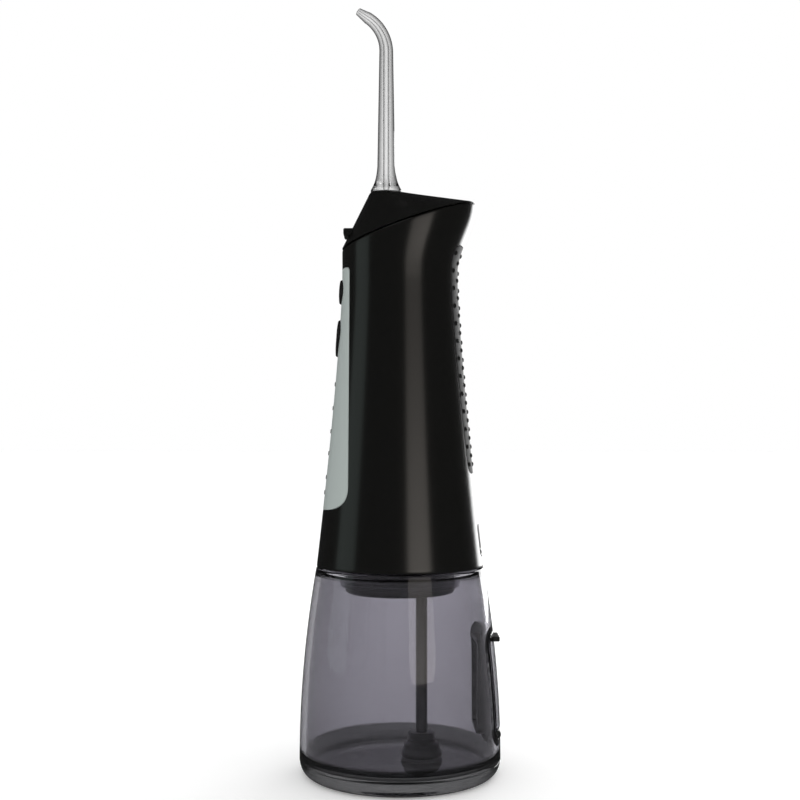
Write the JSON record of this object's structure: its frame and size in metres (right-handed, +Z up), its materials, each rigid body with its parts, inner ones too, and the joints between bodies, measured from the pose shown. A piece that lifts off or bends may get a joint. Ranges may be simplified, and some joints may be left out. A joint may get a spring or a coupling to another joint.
{
  "type": "water flosser",
  "caption": "Cordless water flosser: tapered black grip with a sloping head, a turning pull-out jet nozzle and a smoked pull-off water tank with a rear fill door.",
  "frame": {"origin": "centre of the face that the tank stands on", "axes": "+Z up, -X towards the buttons and the nozzle bend, Y across; symmetric about the XZ plane"},
  "size_m": [0.0714, 0.0714, 0.275],
  "materials": {
    "shell": "satin",
    "keys": "satin",
    "soft_black": "matte",
    "panel": "satin",
    "clear_part": "gloss",
    "steel": "brushed",
    "inner_dark": "matte",
    "inner_white": "matte",
    "board": "satin",
    "chip": "gloss",
    "brass": "satin",
    "seal": "matte",
    "hose": "satin",
    "battery": "gloss",
    "clear_nozzle": "gloss",
    "smoked_tank": "gloss"
  },
  "bodies": {
    "housing": {"base_plug": "shell", "battery_cell": "battery", "battery_cup": "inner_white", "board_lights": "chip", "button_gasket": "soft_black", "charge_cover_pin": "steel", "charge_socket": "inner_dark", "chassis_frame": "inner_white", "chassis_screw_1": "steel", "chassis_screw_2": "steel", "chassis_screw_3": "steel", "circuit_board": "board", "filter_foot": "inner_dark", "filter_mesh": "steel", "head_cover": "shell", "inlet_hose": "hose", "light_pipes": "clear_part", "main_shell": "shell", "mode_switch": "inner_dark", "motor_can": "steel", "motor_end_cap": "inner_dark", "panel_plate": "panel", "plug_seal": "seal", "power_switch": "inner_dark", "pump_cylinder": "inner_white", "rear_grip": "soft_black", "release_spring": "steel", "seat_retainer": "inner_dark", "spring_post": "inner_dark", "suction_tube": "inner_dark", "valve_block": "inner_white"},
    "seat": {"nozzle_seat": "keys"},
    "jet": {"nozzle": "clear_nozzle", "nozzle_seal": "seal"},
    "latch": {"release_button": "keys"},
    "power_key": {"power_button": "keys"},
    "mode_key": {"mode_button": "keys"},
    "gear": {"crown_gear": "inner_white"},
    "pinion": {"motor_pinion": "brass"},
    "piston": {"piston_rod": "inner_white", "piston_seal": "seal"},
    "intake": {"inlet_valve": "seal"},
    "outflow": {"outlet_valve": "seal"},
    "port_cover": {"charge_cover": "soft_black"},
    "tank": {"tank_wall": "smoked_tank", "tank_base": "smoked_tank", "fill_port_frame": "inner_dark", "fill_door_pin": "steel"},
    "door": {"fill_door": "smoked_tank", "fill_door_gasket": "soft_black"}
  },
  "joints": [
    {"name": "nozzle_turn", "type": "hinge", "parent": "housing", "child": "seat", "pos_m": [-0.005, 0, 0.2], "axis": [0, 0, 1], "continuous": true},
    {"name": "nozzle_pull", "type": "slide", "parent": "seat", "child": "jet", "axis": [0, 0, 1], "range_m": [0, 0.026]},
    {"name": "release_press", "type": "slide", "parent": "housing", "child": "latch", "axis": [1, 0, 0], "range_m": [0, 0.0015], "stiffness_N_per_m": 900, "springref_m": -0.001, "deforming": ["release_spring"]},
    {"name": "power_press", "type": "slide", "parent": "housing", "child": "power_key", "axis": [1, 0, 0], "range_m": [0, 0.0008], "stiffness_N_per_m": 1500, "springref_m": -0.0004},
    {"name": "mode_press", "type": "slide", "parent": "housing", "child": "mode_key", "axis": [1, 0, 0], "range_m": [0, 0.0008], "stiffness_N_per_m": 1500, "springref_m": -0.0004},
    {"name": "gear_spin", "type": "hinge", "parent": "housing", "child": "gear", "pos_m": [-0.005, 0, 0.146], "axis": [0, 1, 0], "continuous": true},
    {"name": "motor_spin", "type": "hinge", "parent": "housing", "child": "pinion", "pos_m": [-0.005, -0.0066, 0.13], "axis": [0, 0, 1], "continuous": true},
    {"name": "piston_stroke", "type": "slide", "parent": "housing", "child": "piston", "axis": [0, 0, 1], "range_m": [-0.0025, 0.0025]},
    {"name": "inlet_valve_lift", "type": "slide", "parent": "housing", "child": "intake", "axis": [0, 0, -1], "range_m": [0, 0.0008], "stiffness_N_per_m": 30, "springref_m": -0.0005},
    {"name": "outlet_valve_lift", "type": "slide", "parent": "housing", "child": "outflow", "axis": [0, 0, 1], "range_m": [0, 0.0008], "stiffness_N_per_m": 30, "springref_m": -0.0005},
    {"name": "port_cover_swing", "type": "hinge", "parent": "housing", "child": "port_cover", "pos_m": [0.02792, 0, 0.07805], "axis": [0, 1, 0], "range_deg": [0, 110]},
    {"name": "tank_pull", "type": "slide", "parent": "housing", "child": "tank", "axis": [0, 0, -1], "range_m": [0, 0.08]},
    {"name": "fill_door_swing", "type": "hinge", "parent": "tank", "child": "door", "pos_m": [0.03384, 0, 0.0146], "axis": [0, 1, 0], "range_deg": [0, 95]}
  ],
  "couplings": [
    {"joint": "motor_spin", "follows": "gear_spin", "ratio": 3.6}
  ]
}
